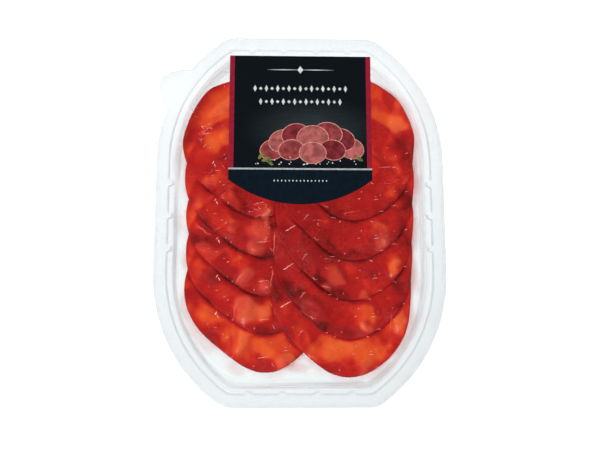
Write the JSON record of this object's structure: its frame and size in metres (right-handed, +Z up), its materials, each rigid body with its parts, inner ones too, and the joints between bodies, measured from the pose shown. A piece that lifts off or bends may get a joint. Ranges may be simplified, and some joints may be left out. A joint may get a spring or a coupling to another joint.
{
  "type": "sealed pack of sliced bresaola",
  "caption": "Clear formed tray with a peel tab, sealed by a clear film with a dark label, holding two shingled columns of thin air-dried beef slices.",
  "frame": {"origin": "centre of the pack's box, on the face it rests on", "axes": "+Y along the pack towards the label end, +X across it to the right of the label, +Z up out of the lid"},
  "size_m": [0.185, 0.24, 0.0163],
  "materials": {
    "clear_tray": "clear, glossy",
    "clear_film": "clear, glossy",
    "label_print": "satin print",
    "cured_beef": "moist, translucent"
  },
  "bodies": {
    "root": {"tray": "clear_tray", "lid_film": "clear_film", "label": "label_print", "slice_left_1": "cured_beef", "slice_left_2": "cured_beef", "slice_left_3": "cured_beef", "slice_left_4": "cured_beef", "slice_left_5": "cured_beef", "slice_right_1": "cured_beef", "slice_right_2": "cured_beef", "slice_right_3": "cured_beef", "slice_right_4": "cured_beef", "slice_right_5": "cured_beef"}
  },
  "joints": []
}
